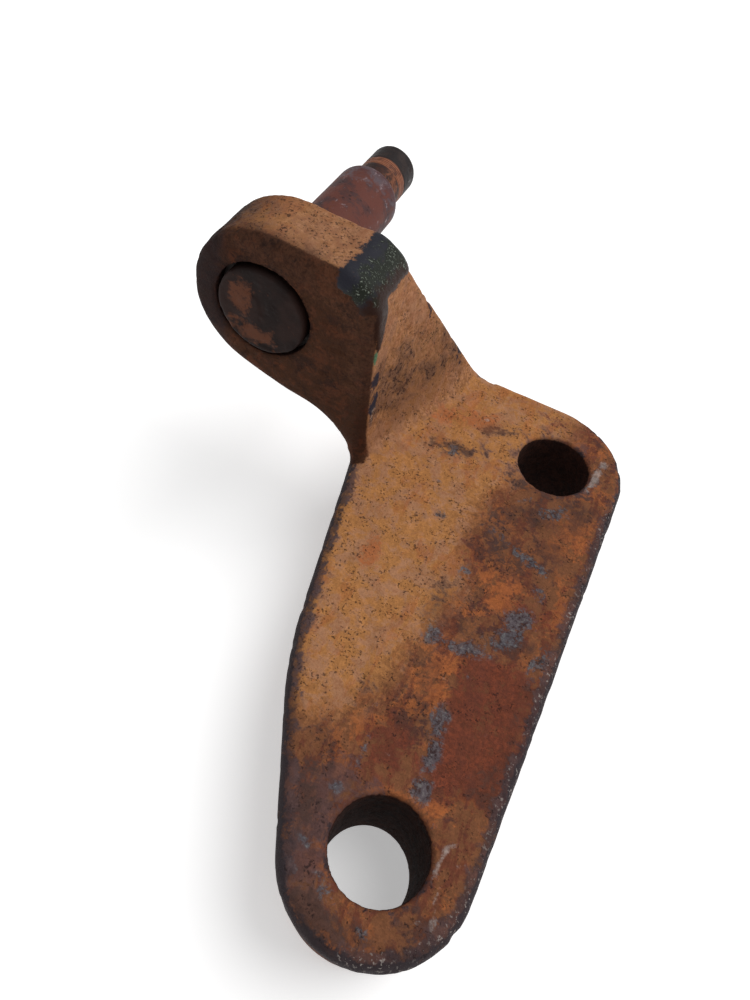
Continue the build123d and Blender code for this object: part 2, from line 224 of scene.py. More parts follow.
# The CAD pieces that the pin runs in, with their finishes: the material's name, its clean, grimy
# and streaked colours, how metallic it is, and how rough it is where clean.
RUNNING_FINISHES = {
    "lug_bush": (
        "oiled_brass", linear(168, 132, 74), linear(66, 46, 28), linear(196, 160, 96), 0.85, 0.32,
    ),
    "thrust_washer": (
        "oily_dark_steel", linear(52, 42, 38), linear(30, 21, 18), linear(40, 32, 30), 0.5, 0.42,
    ),
    "back_washer": (
        "greasy_steel", linear(120, 112, 108), linear(54, 38, 32), linear(86, 78, 76), 0.7, 0.38,
    ),
    "retaining_ring": (
        "blued_spring_steel", linear(70, 70, 80), linear(58, 38, 30), linear(96, 94, 100),
        0.7, 0.34,
    ),
}


def colour_setting(name, description, rgb):
    """A colour that the user can change, its default given as 0 to 255 display values."""
    return bpy.props.FloatVectorProperty(
        name=name, description=description, default=linear(*rgb), subtype="COLOR", min=0, max=1,
    )


# ---- settings --------------------------------------------------------------------------------


class ArmCastingSettings(bpy.types.PropertyGroup):
    voxel: bpy.props.FloatProperty(
        name="Surface cell", description="Grid size of the cast skin", default=0.9 * MM,
        min=0.5 * MM, max=4 * MM, unit="LENGTH", precision=5,
    )
    roughness_depth: bpy.props.FloatProperty(
        name="Cast roughness", description="Depth of the low waves of the cast skin",
        default=0.32 * MM, min=0, max=2 * MM, unit="LENGTH", precision=5,
    )
    tar_thickness: bpy.props.FloatProperty(
        name="Tar thickness", description="How far the tar on the lug's corner stands up",
        default=0.34 * MM, min=0, max=2 * MM, unit="LENGTH", precision=5,
    )
    ochre: colour_setting("Ochre rust", "Light dusty rust on the plate's left half", (178, 122, 72))
    orange: colour_setting("Orange rust", "Bright rust patches", (166, 96, 54))
    brown: colour_setting("Brown rust", "Common mid brown", (124, 80, 54))
    red_brown: colour_setting("Red-brown rust", "Older, redder rust", (102, 55, 42))
    purple: colour_setting("Purple scale", "Mill scale tinted by rust", (88, 66, 64))
    slate: colour_setting("Slate scale", "Bare blue-grey scale", (84, 82, 88))
    dark: colour_setting("Dark scale", "Blue-black worn edges", (48, 42, 46))
    # Painted shade, partly dark oily rust: the dark brown given to the lug's near face, underside
    # and outer end.
    shade: colour_setting("Oily brown", "Dark brown of the lug's near face", (58, 33, 22))
    stain: colour_setting("Dark stains", "Brown-black stains through the rust", (70, 52, 46))
    tan: colour_setting("Tan dust", "Pale dust on top of the lug", (170, 124, 94))
    chalk: colour_setting("Chalky scratches", "Pale scratches by the bores", (166, 156, 150))


class PinSettings(bpy.types.PropertyGroup):
    around: bpy.props.IntProperty(
        name="Facets around", description="Points round the pin", default=240, min=24, max=600
    )
    step: bpy.props.FloatProperty(
        name="Profile step", description="Spacing of the points along the pin's profile",
        default=0.42 * MM, min=0.1 * MM, max=3 * MM, unit="LENGTH", precision=5,
    )
    shank: colour_setting("Shank", "Purple-brown skin of the shank", (100, 58, 50))
    scuff: colour_setting("Scuffs", "Bare bright scuffs", (150, 128, 130))
    orange: colour_setting("Ring rust", "Orange rust on the turned rings", (146, 90, 62))
    end: colour_setting("Oily end", "Dark end of the spigot and rims", (40, 34, 34))
    head: colour_setting("Head", "Slate face of the head", (40, 24, 20))
    head_rust: colour_setting("Head rust", "Rust patches on the head", (94, 54, 35))


class StageSettings(bpy.types.PropertyGroup):
    floor: colour_setting("Floor", "Plain pale floor", (246, 246, 246))
    sun: bpy.props.FloatProperty(
        name="Key light", description="Strength of the large soft key", default=1.9, min=0, max=20
    )
    sun_spread: bpy.props.FloatProperty(
        name="Key spread", description="Angular size of the key", default=math.radians(50),
        min=0, max=math.pi, subtype="ANGLE",
    )
    sky: bpy.props.FloatProperty(
        name="Fill", description="Strength of the even fill light", default=0.42, min=0, max=5
    )
    lens: bpy.props.FloatProperty(
        name="Lens", description="Focal length", default=26.19, min=5, max=300, unit="CAMERA"
    )


class RustyArmSettings(bpy.types.PropertyGroup):
    casting: bpy.props.PointerProperty(type=ArmCastingSettings)
    pin: bpy.props.PointerProperty(type=PinSettings)
    stage: bpy.props.PointerProperty(type=StageSettings)


# ---- shader maths ----------------------------------------------------------------------------


class Value:
    """A shader socket that works in sums. Each operator adds one Math node."""

    def __init__(self, graph, socket):
        self.graph, self.socket = graph, socket

    def _math(self, operation, *values):
        return self.graph.node("Math", {"operation": operation}, dict(enumerate(values)))

    def __add__(self, other):
        return self._math("ADD", self, other)

    __radd__ = __add__

    def __sub__(self, other):
        return self._math("SUBTRACT", self, other)

    def __rsub__(self, other):
        return self._math("SUBTRACT", other, self)

    def __mul__(self, other):
        return self._math("MULTIPLY", self, other)

    __rmul__ = __mul__

    def highest(self, other):
        return self._math("MAXIMUM", self, other)

    def rise(self, low, high):
        """0 below low, 1 above high, and a smooth step between. low may be the larger."""
        sockets = {0: self, 1: low, 2: high, 3: 0.0, 4: 1.0}
        return self.graph.node("MapRange", {"interpolation_type": "SMOOTHSTEP"}, sockets)


class Graph:
    """Builds one material's node tree around a Principled shader."""

    def __init__(self, name):
        self.material = bpy.data.materials.new(name)
        self.material.use_nodes = True
        self.tree = self.material.node_tree
        self.tree.nodes.clear()
        self.shader = self.tree.nodes.new("ShaderNodeBsdfPrincipled")
        output = self.tree.nodes.new("ShaderNodeOutputMaterial")
        self.tree.links.new(self.shader.outputs[0], output.inputs[0])

    def put(self, socket, value):
        """Links a value to a socket, or sets a number, vector or opaque colour on it."""
        if isinstance(value, Value):
            self.tree.links.new(value.socket, socket)
        elif hasattr(value, "__len__") and len(value) == 3 and len(socket.default_value) == 4:
            socket.default_value = (*value, 1.0)
        else:
            socket.default_value = value

    def node(self, kind, settings=None, inputs=None, out=0):
        """One node: its settings are set first, then its sockets' values or links."""
        made = self.tree.nodes.new("ShaderNode" + kind)
        for key, value in (settings or {}).items():
            setattr(made, key, value)
        for key, value in (inputs or {}).items():
            self.put(made.inputs[key], value)
        return Value(self, made.outputs[out])

    def millimetres(self, stretch=(1, 1, 1)):
        """Object coordinates in millimetres, so a pattern's size is given in millimetres."""
        place = self.node("TexCoord", out="Object")
        scale = tuple(1000 * s for s in stretch)
        return self.node("VectorMath", {"operation": "MULTIPLY"}, {0: place, 1: scale})

    def noise(self, place, size, detail=3.0, rough=0.55, warp=0.0):
        """Cloudy noise around 0.5, with clouds of the given size in millimetres."""
        inputs = {"Vector": place, "Scale": 1 / size, "Detail": detail}
        inputs.update({"Roughness": rough, "Distortion": warp})
        return self.node("TexNoise", {}, inputs)

    def cells(self, place, size):
        """Distance to the nearest of many scattered points, in cells."""
        return self.node("TexVoronoi", {}, {"Vector": place, "Scale": 1 / size})

    def mask(self, name):
        return self.node("Attribute", {"attribute_name": name}, out="Fac")

    def mix(self, under, over, by):
        return self.node("Mix", {"data_type": "RGBA"}, {0: by, 6: under, 7: over}, out=2)

    def tint(self, colour, amount):
        """A colour made lighter or darker by a number around 1."""
        return self.node("VectorMath", {"operation": "SCALE"}, {0: colour, 3: amount})

    def bump(self, height, depth_mm):
        inputs = {"Height": height, "Distance": depth_mm * MM, "Strength": 1.0}
        return self.node("Bump", {}, inputs)

    def finish(self, **sockets):
        """Sets the shader's sockets, named with _ for each space, and gives the material."""
        for name, value in sockets.items():
            self.put(self.shader.inputs[name.replace("_", " ")], value)
        return self.material


# ---- numpy surface tools ---------------------------------------------------------------------


def smooth_step(value, low, high):
    """0 below low, 1 above high, and 3t^2 - 2t^3 between."""
    t = np.clip((value - low) / (high - low), 0, 1)
    return t * t * (3 - 2 * t)


def lattice(cell, seed):
    """A fixed number from 0 to 1 for each whole-number cell, by mixing its bits."""
    c = cell.astype(np.int64).astype(np.uint32)
    h = c[:, 0] * np.uint32(374761393) + c[:, 1] * np.uint32(668265263)
    h = h + c[:, 2] * np.uint32(2147483647) + np.uint32(seed * 974711 & 0xFFFFFFFF)
    h = (h ^ (h >> np.uint32(13))) * np.uint32(1274126177)
    h = (h ^ (h >> np.uint32(16))) * np.uint32(2246822519)
    return (h ^ (h >> np.uint32(15))).astype(np.float64) / 4294967295.0


def waves(points, size, seed):
    """Value noise: lattice numbers at the eight corners round a point, blended smoothly."""
    scaled = points / size
    low = np.floor(scaled)
    t = scaled - low
    t = t * t * (3 - 2 * t)
    total = np.zeros(len(points))
    for corner in range(8):
        step = np.array([corner & 1, corner >> 1 & 1, corner >> 2 & 1])
        weight = np.prod(np.where(step, t, 1 - t), axis=1)
        total += weight * lattice(low + step, seed)
    return total


def rough(points, size, octaves, seed):
    """Value noise summed over octaves, each half the size and half the height, from 0 to 1."""
    total, height, norm = np.zeros(len(points)), 1.0, 0.0
    for octave in range(octaves):
        total += height * waves(points, size / 2**octave, seed + octave)
        norm += height
        height /= 2
    return total / norm


def read_points(mesh):
    """A mesh's vertices as rows of x, y, z in millimetres."""
    flat = np.zeros(len(mesh.vertices) * 3)
    mesh.vertices.foreach_get("co", flat)
    return flat.reshape(-1, 3) / MM


def write_points(mesh, points):
    mesh.vertices.foreach_set("co", (points * MM).ravel())
    mesh.update()


def read_normals(mesh):
    flat = np.zeros(len(mesh.vertices) * 3)
    mesh.vertex_normals.foreach_get("vector", flat)
    return flat.reshape(-1, 3)


def read_edges(mesh):
    flat = np.zeros(len(mesh.edges) * 2, np.int64)
    mesh.edges.foreach_get("vertices", flat)
    return flat.reshape(-1, 2)


def neighbour_mean(values, edges):
    """The mean of each vertex's neighbours, for one column or several."""
    columns = values.reshape(len(values), -1)
    count = np.bincount(edges.ravel(), minlength=len(values))
    out = np.empty_like(columns, dtype=float)
    for i in range(columns.shape[1]):
        c = columns[:, i]
        total = np.bincount(edges[:, 0], c[edges[:, 1]], len(values))
        total += np.bincount(edges[:, 1], c[edges[:, 0]], len(values))
        out[:, i] = total / np.maximum(count, 1)
    return out.reshape(values.shape)


def spread(values, edges, rounds):
    """A mask diffused over the surface, a little under one cell a round."""
    for _ in range(rounds):
        values = (values + neighbour_mean(values, edges)) / 2
    return values


def relax(points, edges, rounds, weight=1.0):
    """Each vertex moves half way to its neighbours' mean, by its weight, again and again."""
    share = 0.5 * (weight if np.ndim(weight) == 0 else weight[:, None])
    for _ in range(rounds):
        points = points + share * (neighbour_mean(points, edges) - points)
    return points


def fill_hollows(points, normals, edges, rounds, weight):
    """Moves each vertex along its normal towards its neighbours' mean, outwards only, so a
    sharp hollow fills to a fillet and edges that stand out keep their place."""
    for _ in range(rounds):
        move = 0.5 * weight[:, None] * (neighbour_mean(points, edges) - points)
        rise = np.maximum((move * normals).sum(1), 0)
        points = points + rise[:, None] * normals
    return points


def relax_keeping_size(points, edges, rounds):
    """Smoothing that shrinks and then grows by nearly as much, so the form stays."""
    for _ in range(rounds):
        points = points + 0.5 * (neighbour_mean(points, edges) - points)
        points = points - 0.52 * (neighbour_mean(points, edges) - points)
    return points


def spot(points, x, y, z, radius, height=None, depth=None, turn=0.0):
    """A soft round or oval spot: 1 at its centre, falling as a bell with squared distance."""
    height = radius if height is None else height
    depth = 8.0 if depth is None else depth
    c, s = math.cos(math.radians(turn)), math.sin(math.radians(turn))
    dx, dy, dz = points[:, 0] - x, points[:, 1] - y, points[:, 2] - z
    along, across = c * dx + s * dy, c * dy - s * dx
    return np.exp(-((along / radius) ** 2) - (across / height) ** 2 - (dz / depth) ** 2)


def set_mask(mesh, name, values):
    """Stores one number from 0 to 1 per vertex, for the material to read."""
    layer = mesh.attributes.new(name, "FLOAT", "POINT")
    layer.data.foreach_set("value", np.clip(values, 0, 1).astype(np.float32))


def link(name, mesh, body, replaces=None):
    """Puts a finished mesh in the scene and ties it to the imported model."""
    piece = bpy.data.objects.new(name, mesh)
    bpy.context.scene.collection.objects.link(piece)
    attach(piece, body)
    if replaces:
        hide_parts(replaces)
    return piece


# ---- the casting's skin ----------------------------------------------------------------------


def add_neck_backing(mesh):
    """Adds a closed strip behind the neck's far edge, tapering down it, so that the edge is as
    thick as a casting's. Its corners step back along the plate's edge and out from it."""
    along = np.array([0.535, 0.845, 0.0])
    out = np.array([-0.845, 0.535, 0.0])
    near, far, inner = -0.2, -14.0, -0.4
    corners = []
    for end, thick in ((NECK_TOP, 3.4), (NECK_END, 1.0)):
        for back, away in ((near, inner), (far, inner), (far, thick), (near, thick)):
            corners.append(np.array(end) + back * along + away * out)
    shape = bmesh.new()
    shape.from_mesh(mesh)
    v = [shape.verts.new(corner * MM) for corner in corners]
    faces = [(3, 2, 1, 0), (4, 5, 6, 7)]
    faces += [(i, (i + 1) % 4, (i + 1) % 4 + 4, i + 4) for i in range(4)]
    for face in faces:
        shape.faces.new([v[i] for i in face])
    shape.to_mesh(mesh)
    shape.free()


def remeshed_copy(node, voxel):
    """The CAD node's shape as an even grid of cells, from its merged copy."""
    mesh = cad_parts[node].data.copy()
    add_neck_backing(mesh)
    carrier = bpy.data.objects.new(node + "_carrier", mesh)
    bpy.context.scene.collection.objects.link(carrier)
    weld = carrier.modifiers.new("weld", "WELD")
    weld.merge_threshold = 0.001 * MM
    grid = carrier.modifiers.new("grid", "REMESH")
    grid.mode = "VOXEL"
    grid.voxel_size = voxel
    graph = bpy.context.evaluated_depsgraph_get()
    made = bpy.data.meshes.new_from_object(carrier.evaluated_get(graph))
    bpy.data.objects.remove(carrier)
    made.materials.clear()
    return made


def on_wall(points, across, centre, radius, along, low, high, reach=1.0):
    """Where vertices lie about a round wall's axis, their distance from that axis, and which of
    them are within reach of the wall."""
    a, b = points[:, across[0]] - centre[0], points[:, across[1]] - centre[1]
    distance = np.hypot(a, b)
    inside = (points[:, along] > low) & (points[:, along] < high)
    return a, b, distance, inside & (np.abs(distance - radius) < reach)


def true_up(points, across, centre, radius, along, low, high, reach=1.0):
    """Moves vertices near a round wall straight out or in onto it."""
    a, b, distance, near = on_wall(points, across, centre, radius, along, low, high, reach)
    scale = radius / np.maximum(distance[near], 1e-6)
    points[near, across[0]] = centre[0] + a[near] * scale
    points[near, across[1]] = centre[1] + b[near] * scale


def patches(points, table):
    """The soft oval spots of a table of marks on the plate's front, each times its strength,
    added up."""
    total = np.zeros(len(points))
    for x, y, wide, tall, turn, strength in table:
        total += strength * spot(points, x, y, FRONT_Z, wide, tall, turn=turn)
    return total


def edge_masks(points, side, edges):
    """Wear along the plate's edges: the side wall's mask diffused a little for the dark line,
    and far for the band beside it, which is partly dark scale and partly painted shade on the
    rounded edges, each kept to its own stretch."""
    x, y, z = points.T
    line = spread(side, edges, 14)
    wide = spread(side, edges, 64)
    on_right = smooth_step(x - 0.04 * y, -2, 6)
    on_left = smooth_step(-x, 12, 20)
    upper_half = smooth_step(z, 16, 31)
    dark = np.clip(line * 1.9, 0, 1) * np.clip(on_right + 0.85 * on_left + (y < 0), 0, 1)
    near_corner = np.exp(-(((y - 110.4) / 1.7) ** 2)) * smooth_step(x, -68, -64)
    near_corner = near_corner * smooth_step(z, 36, 44) * (z < 97)
    stretch = on_right * smooth_step(y, 160, 118)
    stretch = stretch + 0.9 * on_left * smooth_step(y, 112, 98) * smooth_step(x, -64, -58)
    flecked = np.clip(wide * 2.2, 0, 1) * on_right * smooth_step(y, 165, 120)
    fringe = np.clip(wide * 2.4, 0, 1) * (1 - np.clip(line * 2.2, 0, 1))
    return {
        "edge_dark": np.clip(dark * (0.3 + 0.7 * upper_half) + 0.75 * near_corner, 0, 1),
        # Partly painted shade: the band beside the rounded edges is dark scale and painted shade.
        "edge_band_scale_and_shade": np.clip(wide * 3.6, 0, 1) * stretch * (0.25 + 0.75 * upper_half),
        "flecked": flecked * smooth_step(z, 27, 33),
        "fringe": fringe * on_left * smooth_step(y, 8, 22) * smooth_step(y, 112, 84),
    }


def plate_masks(points, normals, side, edges):
    """Rust, scale, stains and scratches on the plate. Light dusty rust fills its left part, up
    to a border that wanders down from the upper bore."""
    x, y, z = points.T
    front = smooth_step(z, 30, 35) * smooth_step(normals[:, 2], 0.5, 0.9) * (z < 37.5)
    walls = spread(side, edges, 3) * ((z < FRONT_Z) | (y < 104))
    border = np.interp(y, OCHRE_BORDER_Y, OCHRE_BORDER_X)
    red_field = 0.95 * smooth_step(x, -1, 4) * smooth_step(y, 12, 26) * smooth_step(y, 70, 54)
    return {
        "side": walls,
        "ochre": smooth_step(border - x, -14, 16) * smooth_step(y, -4, 44) * (1 - 0.9 * walls),
        "red": red_field + patches(points, RED_PATCHES),
        "purple": patches(points, PURPLE_PATCHES),
        "slate": patches(points, SLATE_PATCHES) * front,
        "chalk": patches(points, CHALK_MARKS) * front,
        "stain": patches(points, STAIN_PATCHES) * front,
        "orange": patches(points, ORANGE_PATCHES),
    }


def lug_masks(points, normals, edges):
    """Painted shade, partly dark oily rust, on the lug's near face, outer end and underside, dust
    on its top with painted shade along its near edge, and the neck's marks."""
    x, y, z = points.T
    nx, ny, nz = normals.T
    # Painted shade: faces turned from the key light are found by their normals (the near face, the
    # underside and the outer end), to be painted dark.
    near_face = smooth_step(-ny, 0.12, 0.6) * smooth_step(y, 100, 106) * (z > 20) * (x < -45)
    below = smooth_step(-nz, 0.05, 0.5) * (x < -55) * (y > 100)
    outer_end = smooth_step(-nx, 0.25, 0.8) * (x < -95) * (z > 50)
    # Where the painted shade on the near face is made lighter towards its top.
    near_top = smooth_step(z + 0.25 * (x + 96), 92, 103)
    near_top = near_top + smooth_step(x, -74, -64) * smooth_step(z, 50, 70)
    lug_top = smooth_step(nz, 0.55, 0.9) * (z > 95)
    over_lug = (y > 108) * (z > 70) * smooth_step(x, -74, -84)
    # Painted shade along the near edge of the lug's top, where it rounds over towards the shaded
    # near face.
    near_rim = np.exp(-(((y - 109.6) / 4.5) ** 2)) * (z > 96)
    neck = (nx > 0.35) * (z > 38) * (y > 109)
    foot_strip = spot(points, -59, 128, FRONT_Z, 3.2, 13, 9) * (x > -64)
    return {
        "shade": spread(np.clip(near_face + below + 0.75 * outer_end, 0, 1), edges, 2),
        "far_end": smooth_step(x, -104, -116) * (z > 40),
        "near_top": near_top,
        "tan": lug_top * smooth_step(x, -108, -88) * smooth_step(y, 108, 114),
        "lug_dark_and_rim_shade": over_lug * (smooth_step(x, -92, -113) + near_rim),
        "neck": spread(neck.astype(float), edges, 3),
        "neck_pits": neck * smooth_step(z, 80, 68) * smooth_step(z, 44, 52),
        "frost": foot_strip + 0.9 * spot(points, -57.5, 114.5, 56, 4, 2.6, 6),
        "blots": sum(strength * spot(points, *place) for *place, strength in NECK_BLOTS),
        "green": spot(points, -59, 112.0, 80.5, 3.5, 1.5, 2.6),
        "pits": 0.25 + 0.6 * lug_top,
    }


def tar_masks(points, edges):
    """Tar over the lug's rounded corner: a stripe between two wandering angles round the
    corner, and a run on the neck's face."""
    x, y, z = points.T
    across, up = x - LUG_CORNER_X, z - LUG_CORNER_Z
    angle = np.degrees(np.arctan2(across, up))
    wander = 9 * (rough(points, 7, 2, 71) - 0.5)
    stripe = smooth_step(angle + 1.5 * wander, -5, 9) * smooth_step(angle + 2 * wander, 72, 64)
    stripe = stripe * (z > 88) * (x > -80) * smooth_step(y, 104, 109.5)
    run = spot(points, -60.5, 114.5, 94, 5, 3.6, 7.5)
    run = run + 0.8 * spot(points, -59.5, 113.8, 87.5, 4, 1.9, 5.5)
    tar = np.clip(stripe + smooth_step(run, 0.3, 0.5) * (x > -64), 0, 1)
    return {
        "tar": spread(tar * (np.hypot(across, up) > 9), edges, 1),
        "tar_angle": np.clip(angle / 90, 0, 1),
    }


def casting_masks(points, normals, edges):
    """Where each finish and each painted shade lies, as one number per vertex for each."""
    x, y, z = points.T
    from_lower = np.hypot(x, y)
    from_upper = np.hypot(x - UPPER_BORE[0], y - UPPER_BORE[1])
    # The bore walls and the pin's recess are marked here to be painted dark, as shade.
    bores = (np.minimum(from_lower, from_upper) < BORE_R + 0.7) & (z < FRONT_Z - 0.8)
    recess = (np.hypot(x - PIN_X, z - PIN_Z) < COUNTERBORE_R + 0.4) & (y > LUG_NEAR_Y + 0.3)
    recess &= y < LUG_FAR_Y - 1
    side = ((normals[:, 2] < 0.72) & ~bores & (z < FRONT_Z + 0.4) & (z > 2)).astype(float)
    masks = {"bore": spread((bores | recess).astype(float), edges, 2)}
    masks.update(edge_masks(points, side, edges))
    masks.update(plate_masks(points, normals, side, edges))
    masks.update(lug_masks(points, normals, edges))
    masks.update(tar_masks(points, edges))
    masks["pits"] = masks["pits"] + 0.3 * masks["ochre"] + 0.4 * spot(points, -8, 33, FRONT_Z, 5, 4)
    return masks


def soft_form(mesh, edges):
    """Evens out the remeshed skin, fills the neck's foot to a soft hollow, and wears edges away
    from the round walls. Gives back the points, and which lie by the neck's far edge."""
    points = relax_keeping_size(read_points(mesh), edges, 4)
    write_points(mesh, points)
    x, y, z = points.T
    from_upper = np.hypot(x - UPPER_BORE[0], y - UPPER_BORE[1])
    from_pin = np.hypot(x - PIN_X, z - PIN_Z)
    # The foot is a line across the plate's front, and the hollow fades with distance from it.
    foot_line = -57 + (y - 111) * (20.7 / 64.3)
    from_foot = np.hypot((x - foot_line) * 0.95, z - FRONT_Z)
    foot = np.exp(-((from_foot / 14) ** 2)) * (x < -20) * smooth_step(y, 104, 112)
    facing = relax(read_normals(mesh), edges, 4)
    points = fill_hollows(points, facing, edges, 240, np.clip(1.3 * foot, 0, 1))
    write_points(mesh, points)
    # An edge is sharp where neighbours' normals disagree.
    sharp = 1 - np.linalg.norm(neighbour_mean(read_normals(mesh), edges), axis=1)
    far_off = (np.hypot(x, y) > BORE_R + 4) & (from_upper > BORE_R + 4)
    far_off &= (z < FRONT_Z + 1) | (from_pin > COUNTERBORE_R + 2)
    far_edge = (x > -76) & (x < -30) & (z > 37) & (y - 128 > (x + 73) * 1.4)
    worn = spread(smooth_step(sharp, 0.01, 0.05) * far_off, edges, 3)
    points = relax(points, edges, 30, np.clip(2.5 * worn, 0, 1) * np.where(far_edge, 0.3, 1))
    near_rim = np.exp(-(((y - LUG_NEAR_Y) / 3.0) ** 2)) * (z > 38)
    points = relax(points, edges, 34, near_rim * (from_pin > COUNTERBORE_R + 1.5))
    write_points(mesh, points)
    return points, far_edge


def surface_depth(points, masks, look):
    """How far each point is pushed in, in millimetres: low waves, dents, pits and worn edges,
    all of which tar fills before it stands out."""
    depth = look.roughness_depth / MM * rough(points, 11, 4, 3)
    depth += DENT_DEPTH * smooth_step(rough(points, 6, 2, 17), 0.66, 0.86)
    pits = smooth_step(waves(points, 2.6, 29), 0.72, 0.95) * (0.4 + masks["pits"])
    depth += PIT_DEPTH * pits
    depth += WEAR_DEPTH * masks["edge_dark"] * rough(points, 3, 2, 41)
    tar = masks["tar"]
    raised = look.tar_thickness / MM * tar * (0.7 + 0.6 * waves(points, 3, 57))
    return depth * (1 - 0.85 * tar) - raised


def casting_mesh(look):
    """The arm's skin: the CAD shape on an even grid, softened, then pushed along its normals by
    the surface depth. Round walls are left out of that, and trued up last."""
    mesh = remeshed_copy("arm", look.voxel)
    edges = read_edges(mesh)
    points, far_edge = soft_form(mesh, edges)
    normals = read_normals(mesh)
    masks = casting_masks(points, normals, edges)
    held = np.zeros(len(points), bool)
    for wall in ROUND_WALLS:
        held |= on_wall(points, *wall)[3]
    free = 1 - spread(held.astype(float), edges, 1)
    free = free * (1 - 0.4 * spread(far_edge.astype(float), edges, 2))
    depth = surface_depth(points, masks, look)
    points = points - relax(normals, edges, 3) * (depth * free)[:, None]
    for wall in ROUND_WALLS:
        true_up(points, *wall)
    low, high = (np.array(corner) / MM + inset for corner, inset in zip(CAD_BOX, (0.01, -0.01)))
    write_points(mesh, np.clip(points, low, high))
    for name, values in masks.items():
        set_mask(mesh, name, values)
    mesh.polygons.foreach_set("use_smooth", np.ones(len(mesh.polygons), bool))
    return mesh


class RustGraph(Graph):
    """A material with the casting's noises ready, from broad clouds down to grain."""

    def __init__(self, name):
        super().__init__(name)
        self.place = self.millimetres()
        self.broad = self.noise(self.place, 24, 4, 0.6, 0.5).rise(0.36, 0.64)
        self.patch = self.noise(self.place, 9, 5, 0.65, 0.7).rise(0.36, 0.64)
        self.mottle = self.noise(self.place, 3.4, 6, 0.68, 0.5).rise(0.34, 0.66)
        self.flecks = self.noise(self.place, 1.25, 5, 0.72, 0.3).rise(0.33, 0.67)
        self.grain = self.noise(self.place, 0.5, 4, 0.7)
        drawn_out = self.millimetres((1.0, 0.3, 1.0))
        self.smear = self.noise(drawn_out, 5, 5, 0.66, 0.8).rise(0.36, 0.64)
        breakup = (self.patch - 0.5) * 0.5 + (self.mottle - 0.5) * 0.5
        self.breakup = breakup + (self.flecks - 0.5) * 0.35

    def layer(self, under, over, name, amount=1.0, low=0.22, high=0.8):
        """Lays a finish, or a painted shade, where its mask is, with a border broken up by noise.
        """
        mask = self.mask(name)
        cover = (mask + self.breakup * mask.rise(0.0, 0.3)).rise(low, high)
        return self.mix(under, over, cover * amount)


def rust_colour(g, look):
    """Bare rust: brown under orange and red-brown, darker side walls, and sandy ochre."""
    broad, patch, mottle, flecks, smear = g.broad, g.patch, g.mottle, g.flecks, g.smear
    colour = g.mix(look.brown, look.orange, (patch * 0.7 + flecks * 0.3).rise(0.35, 0.8) * 0.7)
    redder = (smear * 0.6 + mottle * 0.5).rise(0.42, 0.8)
    colour = g.mix(colour, look.red_brown, redder * 0.8)
    colour = g.mix(colour, look.dark, (mottle * 0.6 + broad * 0.5).rise(0.66, 0.95) * 0.5)
    wall = g.mix(look.stain, look.red_brown, mottle)
    wall = g.mix(wall, look.dark, (smear * 0.5 + patch * 0.5).rise(0.4, 0.8) * 0.7)
    colour = g.mix(colour, wall, g.mask("side") * (0.55 + broad * 0.35))
    sandy = g.mix(look.ochre, look.tan, (mottle * 0.5 + patch * 0.5).rise(0.3, 0.75) * 0.85)
    sandy = g.mix(sandy, look.orange, (broad * 0.4 + smear * 0.5).rise(0.42, 0.8) * 0.5)
    sandy = g.mix(sandy, look.brown, (flecks * 0.5 + patch * 0.4).rise(0.5, 0.85) * 0.6)
    dusty = (g.mask("ochre") + g.breakup * 0.35).rise(0.2, 0.85)
    return g.mix(colour, sandy, dusty * 0.94)


def weathered_colour(g, look, colour):
    """Patches, scale, worn edges, and painted shade beside the edges and along the lug top's near
    edge, laid over the rust, in the order that they cover it.
    """
    patch, mottle, flecks = g.patch, g.mottle, g.flecks
    colour = g.layer(colour, look.orange, "orange", 0.75)
    red = g.mix(look.red_brown, BRIGHT_RED_RUST, flecks * g.smear * 0.8)
    colour = g.layer(colour, red, "red", 0.92)
    colour = g.layer(colour, look.purple, "purple", 0.75)
    colour = g.layer(colour, look.stain, "stain", 0.72)
    dust = g.mix(look.tan, look.brown, mottle)
    colour = g.mix(colour, dust, g.mask("tan") * (0.5 + flecks * 0.4))
    # Dark brown on the lug's far end, and painted shade along the near edge of its top.
    lug_dark_and_rim_shade = g.mask("lug_dark_and_rim_shade") * (0.55 + mottle * 0.3 + flecks * 0.2)
    colour = g.mix(colour, g.mix(LUG_BROWN, LUG_DARK_AND_SHADE, patch), lug_dark_and_rim_shade)
    colour = g.mix(colour, g.mix(look.brown, look.tan, flecks), g.mask("neck") * 0.55)
    colour = g.mix(colour, look.stain, g.mask("neck_pits") * (0.1 + patch * 0.45))
    scale = g.mix(look.dark, look.slate, (mottle * 0.4 + flecks * 0.6).rise(0.25, 0.6))
    scale = g.mix(scale, BARE_GREY, flecks.rise(0.7, 1.0) * 0.6)
    colour = g.layer(colour, scale, "slate", 0.85, 0.26, 0.82)
    frost = g.mix(look.chalk, look.dark, mottle.rise(0.3, 0.6))
    colour = g.layer(colour, frost, "frost", 0.55, 0.3, 0.8)
    colour = g.layer(colour, scale, "fringe", 0.8, 0.35, 0.8)
    # Partly painted shade: a dark band of scale and shade beside the plate's rounded edges.
    colour = g.layer(colour, g.mix(look.dark, look.purple, patch), "edge_band_scale_and_shade", 0.85, 0.18, 0.8)
    return g.layer(colour, look.dark, "edge_dark", 0.9, 0.3, 0.85)


